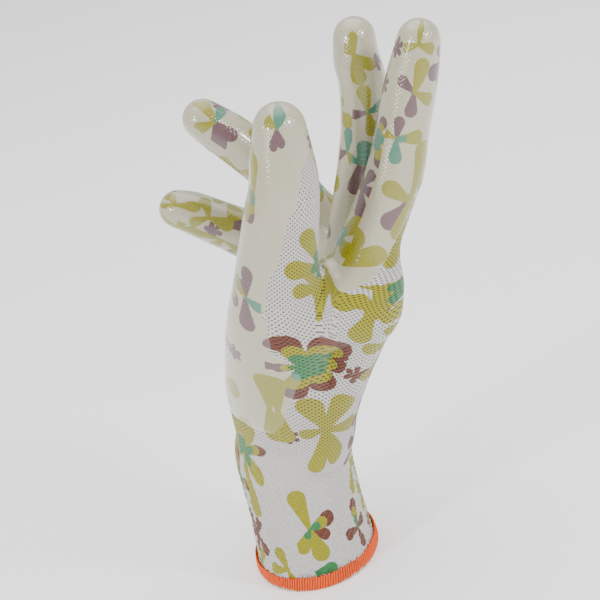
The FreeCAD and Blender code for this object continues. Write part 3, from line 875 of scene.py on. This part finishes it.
def linear(hex_colour):
    """An sRGB hex colour as the linear values that shaders take."""
    values = [int(hex_colour[start:start + 2], 16) / 255 for start in (1, 3, 5)]
    return (*((v / 12.92 if v <= 0.04045 else ((v + 0.055) / 1.055) ** 2.4) for v in values), 1.0)


def add_node(tree, kind, settings=None, **inputs):
    """A node with its settings. Inputs go by name, or i and a number, and take a value or an output."""
    node = tree.nodes.new(kind)
    for key, setting in (settings or {}).items():
        setattr(node, key, setting)
    for key, given in inputs.items():
        by_number = key[0] == "i" and key[1:].isdigit()
        socket = node.inputs[int(key[1:]) if by_number else key.replace("_", " ")]
        if isinstance(given, bpy.types.NodeSocket):
            tree.links.new(given, socket)
        else:
            socket.default_value = given
    return node


def new_material(name):
    material = bpy.data.materials.new(name)
    material.use_nodes = True
    material.node_tree.nodes.clear()
    return material, material.node_tree


def printed_colour(tree, ground, inks):
    """The print over its ground: inks in turn, from the sheet that the point lies on."""
    side = add_node(tree, "ShaderNodeAttribute", {"attribute_name": "side"}).outputs["Fac"]
    palm = add_node(tree, "ShaderNodeAttribute", {"attribute_name": "ink_palm"}).outputs["Vector"]
    back = add_node(tree, "ShaderNodeAttribute", {"attribute_name": "ink_back"}).outputs["Vector"]
    on_palm = add_node(tree, "ShaderNodeMath", {"operation": "GREATER_THAN"}, i0=side, i1=0.0).outputs[0]
    sheet = add_node(tree, "ShaderNodeMix", {"data_type": "VECTOR"}, i0=on_palm, i4=back, i5=palm)
    parts = add_node(tree, "ShaderNodeSeparateXYZ", None, i0=sheet.outputs[1])
    colour = linear(ground)
    for number, ink in enumerate(inks):
        edge = add_node(tree, "ShaderNodeMapRange", {"interpolation_type": "SMOOTHSTEP"},
                        Value=parts.outputs[number], From_Min=0.14, From_Max=-0.14)
        mixed = add_node(tree, "ShaderNodeMix", {"data_type": "RGBA"}, i0=edge.outputs[0])
        if isinstance(colour, tuple):
            mixed.inputs[6].default_value = colour
        else:
            tree.links.new(colour, mixed.inputs[6])
        mixed.inputs[7].default_value = linear(ink)
        colour = mixed.outputs[2]
    return colour


# The openings between the knit's loops, across and along in millimetres. The real ones are near
# 1.2 mm apart, and are drawn wider so that they show.
STITCH = (1.75, 1.55)


def stitches(tree, pitch_across, pitch_along):
    """A wave that peaks at staggered points, one at each opening between the knit's loops."""
    waves = []
    for name, pitch in (("across", pitch_across), ("along", pitch_along)):
        length = add_node(tree, "ShaderNodeAttribute", {"attribute_name": name}).outputs["Fac"]
        turns = add_node(tree, "ShaderNodeMath", {"operation": "MULTIPLY"}, i0=length, i1=2 * math.pi / pitch)
        wave = add_node(tree, "ShaderNodeMath", {"operation": "COSINE"}, i0=turns.outputs[0])
        waves.append(wave.outputs[0])
    return add_node(tree, "ShaderNodeMath", {"operation": "MULTIPLY"}, i0=waves[0], i1=waves[1]).outputs[0]


def knit_material():
    """Textured polyester knit, heat printed: matt, with its pinholes darkened by painted shade that stands in
    for the shaded inside seen through them.
    """
    material, tree = new_material("printed_polyester_knit")
    colour = printed_colour(tree, "#BDBBB8", ("#62301F", "#8F8A0A", "#2F7440"))
    holes = stitches(tree, *STITCH)
    along = add_node(tree, "ShaderNodeAttribute", {"attribute_name": "along"}).outputs["Fac"]
    open_knit = add_node(tree, "ShaderNodeMapRange", {"interpolation_type": "SMOOTHSTEP"},
                         Value=along, From_Min=50.0, From_Max=78.0, To_Min=0.12, To_Max=1.0)
    # Painted shade: a mask on the knit's openings darkens the colour, standing in for the glove's shaded
    # inside seen through the holes, while the fabric stays opaque.
    pinhole_shade_mask = add_node(tree, "ShaderNodeMapRange", {"interpolation_type": "SMOOTHSTEP"},
                    Value=holes, From_Min=0.24, From_Max=0.66)
    depth = add_node(tree, "ShaderNodeMath", {"operation": "MULTIPLY"},
                     i0=pinhole_shade_mask.outputs[0], i1=open_knit.outputs[0])
    # How strongly the painted shade in the pinholes multiplies the colour towards #6E5A4E.
    pinhole_shade_strength = add_node(tree, "ShaderNodeMath", {"operation": "MULTIPLY"}, i0=depth.outputs[0], i1=0.92)
    pinhole_shaded_colour = add_node(tree, "ShaderNodeMix", {"data_type": "RGBA", "blend_type": "MULTIPLY"},
                      i0=pinhole_shade_strength.outputs[0], i6=colour, i7=linear("#6E5A4E"))
    bump = add_node(tree, "ShaderNodeBump", {"invert": True}, Strength=0.55, Distance=0.0004, Height=holes)
    shader = add_node(tree, "ShaderNodeBsdfPrincipled", None, Base_Color=pinhole_shaded_colour.outputs[2], Roughness=0.82,
                      Normal=bump.outputs[0], Sheen_Weight=0.25, Specular_IOR_Level=0.35)
    add_node(tree, "ShaderNodeOutputMaterial", None, Surface=shader.outputs[0])
    return material


def coating_material():
    """Clear nitrile dip over the print: milky and wet-looking, its gloss broken by the knit's grain."""
    material, tree = new_material("translucent_nitrile_dip")
    colour = printed_colour(tree, "#ACA78F", ("#62474B", "#87821C", "#447862"))
    grain = stitches(tree, *STITCH)
    place = add_node(tree, "ShaderNodeTexCoord").outputs["Object"]
    speck = add_node(tree, "ShaderNodeTexNoise", None, Vector=place, Scale=1400.0, Detail=2.0)
    rough = add_node(tree, "ShaderNodeMath", {"operation": "MULTIPLY_ADD"},
                     i0=speck.outputs[0], i1=0.9, i2=grain)
    bump = add_node(tree, "ShaderNodeBump", None, Strength=0.22, Distance=0.0003, Height=rough.outputs[0])
    shader = add_node(tree, "ShaderNodeBsdfPrincipled", None, Base_Color=colour, Roughness=0.16, IOR=1.5,
                      Normal=bump.outputs[0], Subsurface_Weight=0.25, Subsurface_Scale=0.002,
                      Coat_Weight=0.8, Coat_Roughness=0.12)
    add_node(tree, "ShaderNodeOutputMaterial", None, Surface=shader.outputs[0])
    return material


def thread_material():
    """Bright orange overlock thread: matt, with a faint fuzz of darker fibre."""
    material, tree = new_material("orange_overlock_thread")
    place = add_node(tree, "ShaderNodeTexCoord").outputs["Object"]
    fibre = add_node(tree, "ShaderNodeTexNoise", None, Vector=place, Scale=900.0, Detail=3.0)
    colour = add_node(tree, "ShaderNodeMix", {"data_type": "RGBA"}, i0=fibre.outputs[0],
                      i6=linear("#CC3E02"), i7=linear("#EE6208"))
    bump = add_node(tree, "ShaderNodeBump", None, Strength=0.4, Distance=0.0002, Height=fibre.outputs[0])
    shader = add_node(tree, "ShaderNodeBsdfPrincipled", None, Base_Color=colour.outputs[2], Roughness=0.7,
                      Normal=bump.outputs[0])
    add_node(tree, "ShaderNodeOutputMaterial", None, Surface=shader.outputs[0])
    return material


def yarn_material():
    """Covered elastic: a white yarn wrapped round rubber, ribbed across by its turns, with painted shade
    darkening the grooves between the turns.
    """
    material, tree = new_material("covered_elastic_yarn")
    place = add_node(tree, "ShaderNodeTexCoord").outputs["Object"]
    turns = add_node(tree, "ShaderNodeTexWave", {"bands_direction": "Z"},
                     Vector=place, Scale=900.0, Distortion=2.0)
    # Painted shade: the colour follows the bump's wave, darker where the surface sinks between the turns and
    # lighter on their crests.
    colour = add_node(tree, "ShaderNodeMix", {"data_type": "RGBA"}, i0=turns.outputs[1],
                      i6=linear("#CFCBC2"), i7=linear("#EFEDE8"))
    bump = add_node(tree, "ShaderNodeBump", None, Strength=0.5, Distance=0.0002, Height=turns.outputs[1])
    shader = add_node(tree, "ShaderNodeBsdfPrincipled", None, Base_Color=colour.outputs[2], Roughness=0.75,
                      Normal=bump.outputs[0])
    add_node(tree, "ShaderNodeOutputMaterial", None, Surface=shader.outputs[0])
    return material


# ---------------------------------------------------------------- the bound edge


def make_binding(material):
    """The overlock round the mouth: slanted loops of thread wrapped over the cuff's edge."""
    curve = bpy.data.curves.new("overlock", "CURVE")
    curve.dimensions = "3D"
    curve.bevel_depth = BINDING_THREAD * MM
    curve.bevel_resolution = 1
    deep, wide = (size * MM for size in CUFF_RINGS[1][1:])
    # Each loop's way over the edge: how far out, how far up, and how far it leans into the next.
    profile = ((-1.6, 5.4, 0.0), (-1.9, 1.2, 0.1), (-0.6, -0.1, 0.35), (0.8, 1.0, 0.5), (0.9, 3.1, 0.8),
               (0.4, 5.8, 1.1))
    for number in range(BINDING_STITCHES):
        spline = curve.splines.new("NURBS")
        spline.points.add(len(profile) - 1)
        wobble = 0.25 * math.sin(number * 2.4) + 0.2 * math.sin(number * 0.37)
        for point, (out, up, lead) in zip(spline.points, profile):
            angle = 2 * math.pi * (number + lead * 1.6) / BINDING_STITCHES
            ring = Vector((math.cos(angle) * (deep + out * MM), math.sin(angle) * (wide + out * MM), 0))
            point.co = (ring.x, ring.y, (up + (wobble if up > 4 else 0)) * MM, 1)
        spline.order_u = 3
        spline.use_endpoint_u = True
    maker = bpy.data.objects.new("overlock", curve)
    bpy.context.scene.collection.objects.link(maker)
    mesh = bpy.data.meshes.new_from_object(maker.evaluated_get(bpy.context.evaluated_depsgraph_get()))
    bpy.data.objects.remove(maker)
    mesh.materials.clear()
    mesh.materials.append(material)
    mesh.polygons.foreach_set("use_smooth", [True] * len(mesh.polygons))
    piece = bpy.data.objects.new("cuff_overlock_stitches", mesh)
    bpy.context.scene.collection.objects.link(piece)
    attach(piece, "cuff")
    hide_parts("cuff_edge_binding")


# ---------------------------------------------------------------- the glove


def make_glove():
    """The liner's and the coating's pieces, the bound edge, and the elastic's finish."""
    knit = knit_material()
    coating = coating_material()
    zones, rings = list_zones()
    skin = smooth_skin()
    coats = make_coating(skin.copy(), coating, zones, rings)
    liners = make_liner(skin, knit, zones, rings)
    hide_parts("cuff_ribbed_knit")
    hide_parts("wrist_knit_sleeve")
    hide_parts("hand_knit_shell")
    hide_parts("palm_coating")
    for digit, names in JOINT_NAMES.items():
        bones = ["base", "tip"] if digit == "thumb" else ["proximal", "middle", "tip"]
        for name, bone in zip(names, bones):
            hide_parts(f"{digit}_{name}_sleeve", f"{digit}_{bone}_knit")
            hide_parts(f"{digit}_{bone}_coating")
    make_binding(thread_material())
    yarn = frame["nodes"]["cuff_elastic_yarn"]
    yarn.data.materials.clear()
    yarn.data.materials.append(yarn_material())


make_glove()

# ---------------------------------------------------------------- stage, light and camera


def make_stage():
    """A white sweep, faintly lit from below as on a light table."""
    bm = bmesh.new()
    bmesh.ops.create_grid(bm, x_segments=1, y_segments=1, size=4.0)
    mesh = bpy.data.meshes.new("floor")
    bm.to_mesh(mesh)
    material, tree = new_material("white_sweep")
    white = add_node(tree, "ShaderNodeBsdfPrincipled", None, Base_Color=(0.92, 0.92, 0.92, 1),
                     Roughness=0.9, Emission_Color=(1, 1, 1, 1), Emission_Strength=0.32)
    add_node(tree, "ShaderNodeOutputMaterial", None, Surface=white.outputs[0])
    mesh.materials.append(material)
    floor = bpy.data.objects.new("floor", mesh)
    bpy.context.scene.collection.objects.link(floor)


CAMERA_AZIMUTH = 5.0
CAMERA_HEIGHT = 21.0
CAMERA_ROLL = -13.56
CAMERA_DISTANCE = 0.705
CAMERA_LENS = 112.5
CAMERA_TARGET = Vector((0.0, 0.0, 0.1034))
CAMERA_FRAMING = (0.0154, 0.00545)      # how far right and up of the target the view is centred


def make_camera():
    azimuth = math.radians(CAMERA_AZIMUTH)
    height = math.radians(CAMERA_HEIGHT)
    level = math.cos(height)
    back = Vector((math.sin(azimuth) * level, -math.cos(azimuth) * level, math.sin(height)))
    right = Vector((0, 0, 1)).cross(back).normalized()
    up = back.cross(right)
    roll = math.radians(CAMERA_ROLL)
    rolled_right = right * math.cos(roll) + up * math.sin(roll)
    rolled_up = up * math.cos(roll) - right * math.sin(roll)
    data = bpy.data.cameras.new("camera")
    data.lens = CAMERA_LENS
    data.sensor_width = 36.0
    data.clip_start = 0.05
    camera = bpy.data.objects.new("camera", data)
    place = CAMERA_TARGET + back * CAMERA_DISTANCE
    place += rolled_right * CAMERA_FRAMING[0] + rolled_up * CAMERA_FRAMING[1]
    facing = Matrix((rolled_right, rolled_up, back)).transposed().to_4x4()
    camera.matrix_world = Matrix.Translation(place) @ facing
    bpy.context.scene.collection.objects.link(camera)
    bpy.context.scene.camera = camera


def make_light(name, place, target, width, power):
    data = bpy.data.lights.new(name, "AREA")
    data.size = width
    data.energy = power
    lamp = bpy.data.objects.new(name, data)
    lamp.location = place
    lamp.rotation_euler = (Vector(target) - Vector(place)).to_track_quat("-Z", "Y").to_euler()
    bpy.context.scene.collection.objects.link(lamp)


make_stage()
make_camera()
make_light("top", (0.1, 0.2, 1.3), (0, 0, 0.1), 1.4, 16)
make_light("left_strip", (-0.75, -0.75, 0.55), (0, 0, 0.1), 0.13, 7)
make_light("right_strip", (0.8, -0.55, 0.6), (0, 0, 0.1), 0.13, 6)
world = bpy.data.worlds.new("studio")
world.use_nodes = True
world.node_tree.nodes["Background"].inputs["Color"].default_value = (0.9, 0.9, 0.9, 1)
bpy.context.scene.world = world
